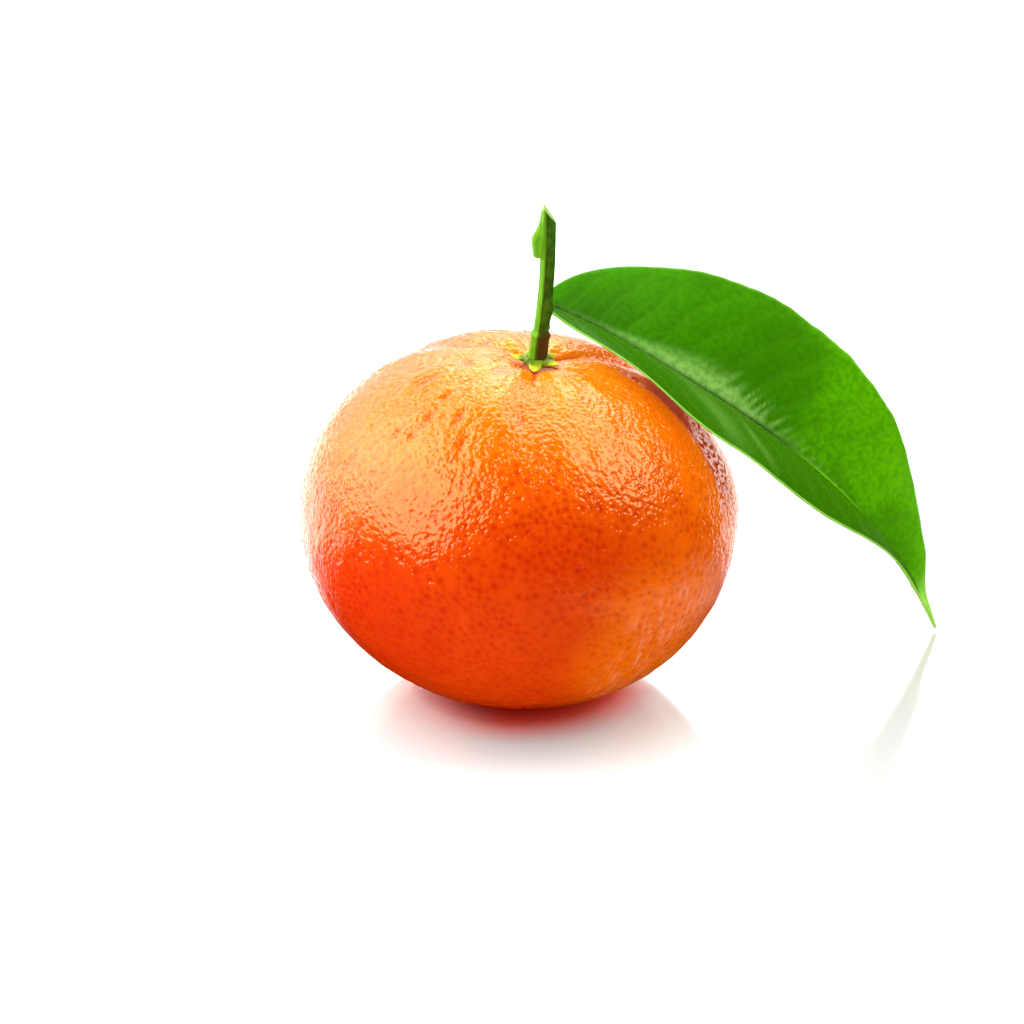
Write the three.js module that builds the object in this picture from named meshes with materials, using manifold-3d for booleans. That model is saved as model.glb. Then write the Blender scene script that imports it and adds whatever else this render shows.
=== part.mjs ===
// A whole mandarin as picked: the fruit, its calyx, a cut stalk, and one leaf on a short leaf stalk.
// Millimetres, +Z up. The origin is the middle of the small flat spot that the fruit rests on,
// +X runs towards the hanging leaf and +Y runs behind the fruit.
import * as THREE from "three";
import { mergeVertices } from "three/addons/utils/BufferGeometryUtils.js";
import Module from "manifold-3d";

const wasm = await Module();
wasm.setup();

// ---------------------------------------------------------------- driving dimensions

const GAP = 0.3;                  // clear space between two pieces that grow together

// Fruit: a flattened ball on an axis that leans towards the leaf
const FRUIT_RADIUS = 30;          // at the equator
const FRUIT_HALF_HEIGHT = 25.2;   // from the equator to either end of the axis
const FRUIT_LEAN = 6.5;           // degrees, the calyx end moves towards +X
const CENTRE_HEIGHT = 24.6;       // low enough to flatten a small spot on the ground
const HOLLOW_DEPTH = 2;           // the calyx sits in a shallow hollow
const HOLLOW_RADIUS = 4.6;
const CREASE_WIDTH = 1.3;         // half the width of a crease where it starts
const CREASE_SPREAD = 0.13;       // how much wider a crease grows with each millimetre outwards
const CREASES = [                 // radial creases of the peel, azimuth and reach in degrees
  { azimuth: -93, depth: 0.9, reach: 62 },
  { azimuth: -142, depth: 0.35, reach: 45 },
  { azimuth: 178, depth: 0.4, reach: 48 },
  { azimuth: 146, depth: 0.9, reach: 75 },
  { azimuth: 97, depth: 0.5, reach: 50 },
  { azimuth: 30, depth: 1.0, reach: 72 },
  { azimuth: -32, depth: 0.3, reach: 40 },
];
const SWELLING = { azimuth: 8, elevation: 14, height: 0.9, spread: 17 };

// Calyx: a disc with five pointed lobes that lies on the peel
const CALYX_RADIUS = 3.5;
const CALYX_DISC_RADIUS = 1.8;
const CALYX_THICKNESS = 0.6;      // at the disc
const CALYX_EDGE_THICKNESS = 0.35;
const CALYX_LOBES = [-94, -24, 48, 116, 177];
const CALYX_LOBE_HALF_WIDTH = 33; // degrees, where a lobe leaves the disc

// Stalk: cut off on the slant above the scar of a bud
const STALK_CONTROLS = [
  new THREE.Vector3(2.72, 0, 49),
  new THREE.Vector3(3.35, 0, 55),
  new THREE.Vector3(4.25, 0, 57),
  new THREE.Vector3(4.2, 0, 69),
];
const STALK_FOOT_RADIUS = 1.24;
const STALK_RADIUS = 1.0;
const STALK_RIDGE = 0.05;         // the stalk is slightly three-cornered
const COLLAR = [0.16, 0.21];       // the wider foot ends here, as fractions of the stalk
const SCAR_AZIMUTH = 180;
const SCAR_LIP = [0.69, 0.72];    // the scar starts here, at a step in the bark
const SCAR_HEIGHT = 1.15;
const SCAR_HALF_WIDTH = 45;       // degrees round the stalk
const CUT_FROM = 0.8;             // the slanted cut starts above this fraction
const CUT_RISE = 1.3;             // the ridge of the cut stands this far above the middle line
const CUT_RIDGE = -0.5;           // and this far to the side of it
const CUT_SLOPE = 1.35;

// Leaf: a folded blade on an arched midrib, hung from the back of the stalk
const MIDRIB_CONTROLS = [
  new THREE.Vector3(3.4, 4.8, 54.7),
  new THREE.Vector3(17.3, 8.1, 47.7),
  new THREE.Vector3(28.8, 15.4, 33.1),
  new THREE.Vector3(46.3, 4.7, 33.3),
  new THREE.Vector3(59.6, 14.3, 0.8),
];
const BLADE_HALF_WIDTH = 17;
const BLADE_BASE_POWER = 0.78;    // how bluntly the outline opens at the base
const BLADE_TIP_POWER = 1.15;     // how sharply it closes at the tip
const BLADE_END_WIDTH = 0.3;      // half the width left at both ends
const BLADE_THICKNESS = 0.6;
const BLADE_BOW = 0.05;           // each half arches up by this part of its width
const FOLD = [12, 29];            // degrees that each half rises from the midrib, base and blade
const ROLL = [17, 27];            // degrees that the blade turns its face to the front, likewise
const SETTLED = 0.6;              // fraction of the midrib where fold and roll stop changing
const LEAF_STALK_RADIUS = 0.6;
const LEAF_STALK_CONTROLS = [
  new THREE.Vector3(3.85, 1.4, 53.4),
  new THREE.Vector3(3.9, 2.6, 54.2),
  new THREE.Vector3(3.6, 3.4, 54.9),
  new THREE.Vector3(3.35, 4, 55),
];

const FINISH = {
  peel: { color: 0xf47a12, roughness: 0.4, metalness: 0 },
  calyx: { color: 0x9ab52a, roughness: 0.6, metalness: 0 },
  stalk: { color: 0x4f8a1e, roughness: 0.6, metalness: 0 },
  leafStalk: { color: 0x5c9a22, roughness: 0.5, metalness: 0 },
  blade: { color: 0x4f9a14, roughness: 0.4, metalness: 0 },
};

// ---------------------------------------------------------------- helpers

const { degToRad, clamp, lerp, smoothstep } = THREE.MathUtils;

/** Moves every corner of a closed geometry by a formula and keeps it closed. */
function shaped(geometry, place) {
  geometry.deleteAttribute("normal");
  geometry.deleteAttribute("uv");
  const closed = mergeVertices(geometry, 1e-5);
  const corners = closed.attributes.position;
  const corner = new THREE.Vector3();
  for (let i = 0; i < corners.count; i += 1) {
    corner.fromBufferAttribute(corners, i);
    corners.setXYZ(i, ...place(corner));
  }
  closed.computeVertexNormals();
  return closed;
}

/** A bell curve: 1 at zero, and almost nothing past twice the width. */
function bell(distance, width) {
  return Math.exp(-((distance / width) ** 2));
}

/** The angle between two azimuths, in radians. */
function turnBetween(around, azimuth) {
  return Math.abs(Math.atan2(Math.sin(around - azimuth), Math.cos(around - azimuth)));
}

function named(name, geometry, finish) {
  const piece = new THREE.Mesh(geometry, new THREE.MeshStandardMaterial(finish));
  piece.name = name;
  return piece;
}

/** A Bezier curve through any number of control points. */
class BezierCurve extends THREE.Curve {
  constructor(controls) {
    super();
    this.controls = controls;
  }

  getPoint(t, target = new THREE.Vector3()) {
    const row = this.controls.map((control) => control.clone());
    for (let last = row.length - 1; last > 0; last -= 1) {
      for (let i = 0; i < last; i += 1) {
        row[i].lerp(row[i + 1], t);
      }
    }
    return target.copy(row[0]);
  }
}

/** A point on a curve with the directions along it, across it and off it. */
function stationOn(curve, fraction, upright) {
  const along = curve.getTangentAt(fraction);
  const across = new THREE.Vector3().crossVectors(upright, along).normalize();
  const off = new THREE.Vector3().crossVectors(along, across);
  return { point: curve.getPointAt(fraction), along, across, off };
}

const UP = new THREE.Vector3(0, 0, 1);
const BACK = new THREE.Vector3(0, 1, 0);

// ---------------------------------------------------------------- fruit

/** Depth of one radial crease below the round of the fruit. */
function creaseDepth({ azimuth, depth, reach }, polar, around, offAxis) {
  const turn = around - degToRad(azimuth);
  const facing = Math.max(Math.cos(turn), 0);
  const outwards = clamp(polar / degToRad(reach), 0, 1);
  const profile = 6.75 * outwards * (1 - outwards) ** 2; // 1 at its deepest, a third of the way out
  const halfWidth = CREASE_WIDTH + CREASE_SPREAD * offAxis;
  return depth * profile * facing * bell(offAxis * Math.sin(turn), halfWidth);
}

/** Height of the broad bulge on the shoulder under the leaf. */
function swellingHeight({ azimuth, elevation, height, spread }, polar, around) {
  const rise = degToRad(elevation);
  const level = Math.cos(rise) * Math.sin(polar) * Math.cos(around - degToRad(azimuth));
  const apart = Math.acos(clamp(level + Math.sin(rise) * Math.cos(polar), -1, 1));
  return height * bell(apart, degToRad(spread));
}

/** Distance from the centre of the fruit to its skin, by the angle from the axis and round it. */
function peelRadius(polar, around) {
  const round = 1 / Math.hypot(Math.sin(polar) / FRUIT_RADIUS, Math.cos(polar) / FRUIT_HALF_HEIGHT);
  const offAxis = round * Math.sin(polar);
  const hollow = polar < Math.PI / 2 ? HOLLOW_DEPTH * bell(offAxis, HOLLOW_RADIUS) : 0;
  const creases = CREASES.reduce((sum, one) => sum + creaseDepth(one, polar, around, offAxis), 0);
  return round - hollow - creases + swellingHeight(SWELLING, polar, around);
}

/** How high the skin stands on the fruit's axes, near the calyx end. */
function peelHeight(offAxis, around) {
  let polar = Math.atan(offAxis / FRUIT_HALF_HEIGHT);
  for (let pass = 0; pass < 4; pass += 1) {
    polar = Math.asin(offAxis / peelRadius(polar, around));
  }
  return peelRadius(polar, around) * Math.cos(polar);
}

/** The group whose origin is the fruit's centre and whose +Z is the fruit's own axis. */
function fruitAxes() {
  const axes = new THREE.Group();
  axes.position.z = CENTRE_HEIGHT;
  axes.rotation.y = degToRad(FRUIT_LEAN);
  axes.updateMatrixWorld();
  return axes;
}

function manifoldOf(geometry) {
  return new wasm.Manifold(new wasm.Mesh({
    numProp: 3,
    vertProperties: new Float32Array(geometry.attributes.position.array),
    triVerts: new Uint32Array(geometry.index.array),
  }));
}

function geometryOf(manifold) {
  const { vertProperties, triVerts } = manifold.getMesh();
  const geometry = new THREE.BufferGeometry();
  geometry.setAttribute("position", new THREE.BufferAttribute(vertProperties, 3));
  geometry.setIndex(new THREE.BufferAttribute(triVerts, 1));
  geometry.computeVertexNormals();
  return geometry;
}

/** The fruit on its own axes, cut flat where it meets the ground. */
function fruitGeometry(axes) {
  const ball = shaped(new THREE.SphereGeometry(1, 60, 30), (corner) => {
    const polar = Math.acos(clamp(corner.y, -1, 1));
    const around = Math.atan2(-corner.z, corner.x);
    const radius = peelRadius(polar, around);
    return new THREE.Vector3(corner.x, -corner.z, corner.y).multiplyScalar(radius);
  });
  const deep = 4 * FRUIT_RADIUS;
  const block = new THREE.BoxGeometry(deep, deep, deep).translate(0, 0, -deep / 2);
  const ground = shaped(block, (corner) => corner);
  ground.applyMatrix4(axes.matrixWorld.clone().invert());
  return geometryOf(manifoldOf(ball).subtract(manifoldOf(ground)));
}

// ---------------------------------------------------------------- calyx

/** How far a lobe reaches at this azimuth: 1 at its point, 0 between two lobes. */
function lobeReach(around) {
  const turns = CALYX_LOBES.map((azimuth) => turnBetween(around, degToRad(azimuth)));
  return Math.max(1 - Math.min(...turns) / degToRad(CALYX_LOBE_HALF_WIDTH), 0);
}

/** The star of the calyx on the fruit's axes, following the peel under it. */
function calyxGeometry() {
  const lobe = CALYX_RADIUS - CALYX_DISC_RADIUS;
  const shoulder = CALYX_DISC_RADIUS + lobe / 2;
  const outline = [
    new THREE.Vector2(0, 0),
    new THREE.Vector2(CALYX_DISC_RADIUS, 0),
    new THREE.Vector2(shoulder, 0),
    new THREE.Vector2(CALYX_RADIUS, 0),
    new THREE.Vector2(CALYX_RADIUS, CALYX_EDGE_THICKNESS),
    new THREE.Vector2(shoulder, CALYX_EDGE_THICKNESS),
    new THREE.Vector2(CALYX_DISC_RADIUS, CALYX_THICKNESS),
    new THREE.Vector2(0, CALYX_THICKNESS),
  ];
  return shaped(new THREE.LatheGeometry(outline, 45), (corner) => {
    const around = Math.atan2(-corner.z, corner.x);
    const flat = Math.hypot(corner.x, corner.z);
    const beyondDisc = Math.max(flat - CALYX_DISC_RADIUS, 0);
    const kept = Math.max(lobeReach(around), 0.12);
    const offAxis = flat - beyondDisc * (1 - kept);
    const height = peelHeight(offAxis, around) + GAP + corner.y;
    return new THREE.Vector3(offAxis * Math.cos(around), offAxis * Math.sin(around), height);
  });
}

// ---------------------------------------------------------------- stalk

function stalkRadius(fraction, around) {
  const aboveCollar = smoothstep(fraction, ...COLLAR);
  const round = lerp(STALK_FOOT_RADIUS, STALK_RADIUS, aboveCollar);
  const ridged = round * (1 + STALK_RIDGE * Math.cos(3 * around));
  const lip = smoothstep(fraction, ...SCAR_LIP) * (1 - smoothstep(fraction, SCAR_LIP[1], 1.1));
  const beside = turnBetween(around, degToRad(SCAR_AZIMUTH));
  return ridged + SCAR_HEIGHT * lip * bell(beside, degToRad(SCAR_HALF_WIDTH));
}

/** The stalk, with the scar of a bud at one side and a slanted cut at the top. */
function stalkGeometry() {
  const middle = new BezierCurve(STALK_CONTROLS);
  return shaped(new THREE.CylinderGeometry(1, 1, 1, 16, 26), (corner) => {
    const fraction = corner.y + 0.5;
    const around = Math.atan2(-corner.z, corner.x);
    const { point, along, across, off } = stationOn(middle, fraction, BACK);
    const out = Math.hypot(corner.x, corner.z) * stalkRadius(fraction, around);
    const sideways = out * Math.cos(around);
    const cut = CUT_RISE - CUT_SLOPE * Math.abs(sideways - CUT_RIDGE);
    return point
      .addScaledVector(across, sideways)
      .addScaledVector(off, out * Math.sin(around))
      .addScaledVector(along, cut * smoothstep(fraction, CUT_FROM, 1));
  });
}

// ---------------------------------------------------------------- leaf

/** The leaf stalk: from just behind the stalk, round into the base of the midrib. */
function leafStalkGeometry() {
  const middle = new BezierCurve(LEAF_STALK_CONTROLS);
  return shaped(new THREE.CylinderGeometry(1, 1, 1, 10, 9), (corner) => {
    const { point, across, off } = stationOn(middle, corner.y + 0.5, UP);
    return point
      .addScaledVector(across, LEAF_STALK_RADIUS * corner.x)
      .addScaledVector(off, -LEAF_STALK_RADIUS * corner.z);
  });
}

/** Half the width of the blade at a fraction of the midrib. */
function bladeHalfWidth(fraction) {
  const outline = (at) => at ** BLADE_BASE_POWER * (1 - at) ** BLADE_TIP_POWER;
  const widest = BLADE_BASE_POWER / (BLADE_BASE_POWER + BLADE_TIP_POWER);
  const spread = clamp(fraction, 0, 1);
  return BLADE_END_WIDTH + (BLADE_HALF_WIDTH - BLADE_END_WIDTH) * outline(spread) / outline(widest);
}

/** The blade: two arched halves that rise from the midrib like an open book. */
function bladeGeometry() {
  const midrib = new BezierCurve(MIDRIB_CONTROLS);
  return shaped(new THREE.BoxGeometry(1, 2, 1, 34, 10, 1), (corner) => {
    const fraction = corner.x + 0.5;
    const { point, across, off } = stationOn(midrib, fraction, UP);
    const settling = 1 - (1 - Math.min(fraction / SETTLED, 1)) ** 2;
    const fold = degToRad(lerp(FOLD[0], FOLD[1], settling));
    const roll = degToRad(lerp(ROLL[0], ROLL[1], settling));
    const side = Math.sign(corner.y);
    const rise = fold + side * roll;
    const share = Math.abs(corner.y);
    const out = share * bladeHalfWidth(fraction);
    const bow = 4 * BLADE_BOW * out * (1 - share);
    const level = side * (out * Math.cos(rise) - bow * Math.sin(rise));
    const height = out * Math.sin(rise) + bow * Math.cos(rise);
    const faceTurn = side * share * rise;
    const thick = corner.z * BLADE_THICKNESS;
    return point
      .addScaledVector(across, level - thick * Math.sin(faceTurn))
      .addScaledVector(off, height + thick * Math.cos(faceTurn));
  });
}

// ---------------------------------------------------------------- assembly

const mandarin = new THREE.Group();

const axes = fruitAxes();
axes.add(named("fruit", fruitGeometry(axes), FINISH.peel));
axes.add(named("calyx", calyxGeometry(), FINISH.calyx));
mandarin.add(axes);

mandarin.add(named("stalk", stalkGeometry(), FINISH.stalk));
mandarin.add(named("leaf_stalk", leafStalkGeometry(), FINISH.leafStalk));
mandarin.add(named("leaf_blade", bladeGeometry(), FINISH.blade));

export default mandarin;
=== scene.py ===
"""A whole mandarin with its calyx, cut stalk and one hanging leaf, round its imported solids."""
import math

import bpy
import numpy as np
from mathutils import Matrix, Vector, noise
from mathutils.kdtree import KDTree


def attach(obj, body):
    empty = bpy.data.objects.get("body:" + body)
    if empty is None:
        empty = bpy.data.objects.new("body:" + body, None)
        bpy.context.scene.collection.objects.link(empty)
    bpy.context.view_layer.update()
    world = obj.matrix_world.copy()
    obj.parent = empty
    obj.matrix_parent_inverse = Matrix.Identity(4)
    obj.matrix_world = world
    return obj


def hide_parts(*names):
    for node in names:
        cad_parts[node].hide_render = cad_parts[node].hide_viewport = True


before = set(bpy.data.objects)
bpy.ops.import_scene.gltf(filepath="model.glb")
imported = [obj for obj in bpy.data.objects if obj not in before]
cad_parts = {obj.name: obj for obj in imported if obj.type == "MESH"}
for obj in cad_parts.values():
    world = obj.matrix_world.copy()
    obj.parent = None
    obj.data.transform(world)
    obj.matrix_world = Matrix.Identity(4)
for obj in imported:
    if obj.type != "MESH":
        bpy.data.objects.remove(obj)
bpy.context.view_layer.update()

bl_info = {
    "name": "Whole Mandarin",
    "version": (1, 0, 0),
    "blender": (4, 5, 0),
    "location": "View3D > Sidebar > Mandarin",
    "description": "Models a ripe mandarin with its calyx, stalk and one leaf",
    "category": "Object",
}

BODY = "root"
BLOCKERS = "Twig And Fruit"
MM = 0.001

# ------------------------------------------------------------------ sizes and places

# Fruit: a flattened ball on an axis that leans towards the leaf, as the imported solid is
FRUIT_RADIUS = 30 * MM
FRUIT_HALF_HEIGHT = 25.2 * MM
FRUIT_LEAN = math.radians(6.5)
FRUIT_CENTRE = np.array([0, 0, 24.6 * MM])
HOLLOW_DEPTH = 2 * MM             # of the dip that the calyx lies in
HOLLOW_RADIUS = 4.6 * MM
CREASE_WIDTH = 1.3 * MM           # half a crease's width on the axis
CREASE_SPREAD = 0.13              # and how much it gains with the distance from the axis
CREASES = (                       # azimuth in degrees, depth in millimetres, reach in degrees
    (-93, 0.9, 62),
    (-142, 0.35, 45),
    (178, 0.4, 48),
    (146, 0.9, 75),
    (97, 0.5, 50),
    (30, 1.0, 72),
    (-32, 0.3, 40),
)
SWELLING = (8, 14, 0.9, 17)       # azimuth, elevation, height in millimetres, spread in degrees
SHOULDER_FOLD = (                 # control points of the line where the fold starts, in millimetres
    (14.5, 0.6, 46.8), (22.0, -1.5, 41.6), (26.6, -4.4, 36.2),
    (28.6, -8.4, 30.0), (28.6, -10.8, 25.5),
)
FOLD_BEHIND = np.array([0.37, 0.87, -0.22])    # the way from the line to its sunken side
FOLD_DROP = 0.75 * MM
FOLD_WIDTH = 6 * MM
SMALL_DENTS = (                   # x, y, z, half length and half width of each dent, in millimetres
    (-12.0, -5.4, 47.6, 1.7, 0.6), (-11.5, -12.7, 45.6, 1.9, 0.55), (-16.0, -12.9, 43.5, 1.4, 0.5),
    (-13.9, -14.6, 43.6, 0.7, 0.6), (-9.5, -10.1, 47.2, 1.2, 0.5), (-1.9, -4.9, 48.9, 1.2, 1.6),
    (-4.3, 5.5, 48.5, 1.0, 2.4), (-6.9, -2.7, 49.1, 1.0, 1.4), (-22.7, -11.9, 38.5, 1.2, 0.5),
    (-7.5, -14.1, 46.1, 1.3, 0.5), (-7.2, -18.2, 43.8, 1.2, 0.5), (0.7, -14.7, 45.9, 1.6, 0.6),
)
DENT_DEPTH = 0.25 * MM
SHORT_GROOVE_DEPTH = 0.25 * MM
WRINKLE_HEIGHT = 0.22 * MM        # round the calyx
RAY_HEIGHT = 0.2 * MM             # further out on the shoulder
FLOWER_SCAR_DEPTH = 0.35 * MM
FLOWER_SCAR_RADIUS = 1.1 * MM

# Calyx
CALYX_RADIUS = 3.5 * MM
CALYX_DISC_RADIUS = 1.8 * MM
CALYX_THICKNESS = (0.42 * MM, 0.14 * MM)    # of the disc and of the lobes' points
CALYX_COLLAR_HEIGHT = 0.3 * MM
CALYX_COLLAR_RADIUS = 1.35 * MM
CALYX_KEEL_HEIGHT = 0.1 * MM
CALYX_LOBES = (                   # azimuth in degrees, share of the length, lift in millimetres
    (-94, 1.0, 0.0),
    (-28, 1.0, 0.35),
    (42, 0.95, 0.4),
    (112, 0.8, 0.0),
    (180, 1.1, 0.6),
)

# Stalk: control points of its middle line, in millimetres
STALK_CONTROLS = ((2.72, 0, 47.9), (3.35, 0, 54.6), (4.25, 0, 57), (4.2, 0, 69))
STALK_FOOT_RADIUS = 1.24 * MM
STALK_RADIUS = 1.0 * MM
FOOT_FLARE = 0.25 * MM
COLLAR = (0.19, 0.23)             # shares of the stalk's length between which its collar narrows
COLLAR_LIP = 0.09 * MM
AXIL = 0.37                       # share of the length where it swells under the leaf
AXIL_HEIGHT = 0.4 * MM
SCAR_LIP = (0.718, 0.732)         # shares of the length between which the bud scar rises
SCAR_HEIGHT = 1.27 * MM
CUT_FROM = 0.86                   # share of the length where the end begins to slant
CUT_RISE = 1.3 * MM               # height of the cut's ridge over the end of the middle line
CUT_RIDGE = -0.5 * MM             # place of the ridge across the stalk
CUT_SLOPE = 1.35                  # fall for each step away from the ridge

# Leaf: control points of its midrib and of the leaf stalk, in millimetres
MIDRIB_CONTROLS = (
    (3.4, 4.8, 54.7), (17.3, 8.1, 47.7), (28.8, 15.4, 33.1), (46.3, 4.7, 33.3), (59.8, 14.3, 0.5),
)
LEAF_STALK_CONTROLS = ((3.8, 0.5, 52.7), (3.9, 2.6, 54.0), (4.2, 3.4, 55.3), (4.5, 4.4, 54.3))
BLADE_HALF_WIDTH = 17 * MM
BLADE_BASE_POWER = 0.78           # how the outline widens from the base
BLADE_TIP_POWER = 1.15            # and how it narrows to the tip
BLADE_END_WIDTH = 0.3 * MM        # half width left at both ends
BLADE_BOW = 0.05                  # rise of each half's middle, as a share of its width
BLADE_TROUGH = 0.8 * MM           # beside the midrib, on the far half
BLADE_TROUGH_WIDTH = 2.4 * MM
BLADE_ROWS = 270
BLADE_SPOKES = 91
GROOVE_DEPTH = 0.22 * MM          # over the midrib
KEEL_HEIGHT = 0.6 * MM            # under the midrib
VEIN_DEPTH = 0.05 * MM
FINE_VEIN_DEPTH = 0.045 * MM
VEIN_RIDGE = 0.08 * MM            # on the lower face
TIP_TURN = 11                     # how far the near half drops at the tip, in degrees
FOLD = (12, 29)                   # rise of both halves in degrees, at the base and once settled
ROLL = (17, 27)                   # roll of the whole blade in degrees, likewise
SETTLED = 0.6                     # share of the length where fold and roll settle

# Stage
CAMERA_AIM = (-0.6, 0.34, 25.3)   # in millimetres
SENSOR_WIDTH = 36
# Lights: name, setting of the power, way from the fruit, distance, width, height, passes the leaf
SOFTBOXES = (
    ("Left Softbox", "left_power", (-0.76, -0.11, 0.64), 0.6, 0.92, 0.7, False),
    ("Right Softbox", "right_power", (0.66, 0.04, 0.7), 0.6, 0.3, 0.4, True),
    ("Back Softbox", "back_power", (0.15, 0.62, 0.78), 0.7, 0.56, 0.6, True),
)

UP = np.array([0.0, 0.0, 1.0])
BACK = np.array([0.0, 1.0, 0.0])


# ------------------------------------------------------------------ small tools

def paint(red, green, blue):
    """A colour given as a screen shows it, 0 to 255, turned into the linear values of a shader."""
    def linear(part):
        share = part / 255
        return share / 12.92 if share <= 0.04045 else ((share + 0.055) / 1.055) ** 2.4
    return (linear(red), linear(green), linear(blue))


def bell(distance, width):
    """1 at zero, and almost nothing past twice the width."""
    return np.exp(-((distance / width) ** 2))


def ease(low, high, value):
    """0 below low, 1 above high, and a smooth climb between."""
    share = np.clip((value - low) / (high - low), 0, 1)
    return share * share * (3 - 2 * share)


def blend(low, high, share):
    """A value between two values."""
    return low + (high - low) * share


def full_turn(number):
    """Evenly spaced angles round a full turn."""
    return np.linspace(0, 2 * math.pi, number, endpoint=False)


def turn_between(around, azimuth):
    """The smaller angle between azimuths, in radians."""
    return np.abs(np.arctan2(np.sin(around - azimuth), np.cos(around - azimuth)))


def soft_noise(points, wavelength, shift=0.0):
    """Smooth noise between -1 and 1 at each point, with lumps of about the wavelength."""
    scaled = points / wavelength + shift
    return np.array([noise.noise(point) for point in scaled.tolist()])


def flat_noise(first, second, wavelength, shift=0.0):
    """The same noise on a flat pattern, read at two distances that can be stretched apart."""
    return soft_noise(np.stack([first, second, 0 * first], -1), wavelength, shift)


def bezier(controls, t):
    """Points of a Bezier curve through any number of control points."""
    last = len(controls) - 1
    points = np.zeros((len(t), 3))
    for i, control in enumerate(controls):
        weight = math.comb(last, i) * (1 - t) ** (last - i) * t ** i
        points += weight[:, None] * np.asarray(control, float)
    return points


class Curve:
    """A Bezier curve measured by its length, with directions along, across and off it."""

    def __init__(self, controls, upright):
        t = np.linspace(0, 1, 1601)
        points = bezier(controls, t) * MM
        steps = np.linalg.norm(np.diff(points, axis=0), axis=1)
        travelled = np.concatenate([[0], np.cumsum(steps)])
        self.length = travelled[-1]
        self.shares = travelled / self.length
        self.points = points
        along = np.gradient(points, axis=0)
        self.tangents = along / np.linalg.norm(along, axis=1)[:, None]
        self.upright = upright

    def at(self, share):
        """Point, along, across and off at each share of the length."""
        share = np.asarray(share, float)

        def pick(table):
            return np.stack([np.interp(share, self.shares, table[:, i]) for i in range(3)], -1)

        along = pick(self.tangents)
        across = np.cross(self.upright, along)
        across /= np.linalg.norm(across, axis=-1)[..., None]
        return pick(self.points), along, across, np.cross(along, across)


def closed_rows(rows):
    """Corners and faces of a skin of closed rows of points, with one point in each end's middle."""
    count, around, _ = rows.shape
    corners = np.vstack([rows[0].mean(0), rows.reshape(-1, 3), rows[-1].mean(0)])
    here = 1 + np.arange(count * around).reshape(count, around)
    there = np.roll(here, -1, axis=1)
    quads = np.stack([here[:-1], there[:-1], there[1:], here[1:]], -1).reshape(-1, 4)
    first = np.stack([np.zeros(around, int), there[0], here[0]], -1)
    last = np.stack([np.full(around, len(corners) - 1), here[-1], there[-1]], -1)
    return corners, quads.tolist() + first.tolist() + last.tolist()


def with_ends(values, start, end):
    """A mask for a skin's rows of corners, with the values of its two end points."""
    return np.concatenate([[start], np.ravel(values), [end]])


def ball_of_cells(cells):
    """Directions and quads of a ball made from six square grids, so that it has no poles."""
    steps = np.arange(cells + 1)
    first_step, second_step = np.meshgrid(steps, steps, indexing="ij")
    corners, quads = [], []
    for axis in range(3):
        for end in (0, cells):
            grid = np.empty((cells + 1, cells + 1, 3), int)
            grid[..., axis] = end
            grid[..., (axis + 1) % 3] = first_step
            grid[..., (axis + 2) % 3] = second_step
            index = np.arange((cells + 1) ** 2).reshape(cells + 1, cells + 1)
            index = index + len(corners) * (cells + 1) ** 2
            ring = [index[:-1, :-1], index[1:, :-1], index[1:, 1:], index[:-1, 1:]]
            if end == 0:
                ring.reverse()
            corners.append(grid.reshape(-1, 3))
            quads.append(np.stack(ring, -1).reshape(-1, 4))
    lattice, merged = np.unique(np.vstack(corners), axis=0, return_inverse=True)
    directions = np.tan((lattice / cells - 0.5) * math.pi / 2)
    directions /= np.linalg.norm(directions, axis=1)[:, None]
    return directions, merged.reshape(-1)[np.vstack(quads)]


def add_piece(name, node, slot, skin, material):
    """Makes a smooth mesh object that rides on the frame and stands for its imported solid."""
    corners, faces, marks = skin
    mesh = bpy.data.meshes.new(name)
    mesh.from_pydata(np.asarray(corners).tolist(), [], np.asarray(faces, dtype=object).tolist())
    for mark, values in marks.items():
        layer = mesh.attributes.new(mark, "FLOAT", "POINT")
        layer.data.foreach_set("value", np.asarray(values, dtype=np.float32).ravel())
    mesh.validate()
    mesh.shade_smooth()
    mesh.materials.append(material)
    piece = bpy.data.objects.new(name, mesh)
    bpy.context.scene.collection.objects.link(piece)
    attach(piece, BODY)
    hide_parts(node)
    if slot != "leaf":
        bpy.data.collections[BLOCKERS].objects.link(piece)


# ------------------------------------------------------------------ shader tools

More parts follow.
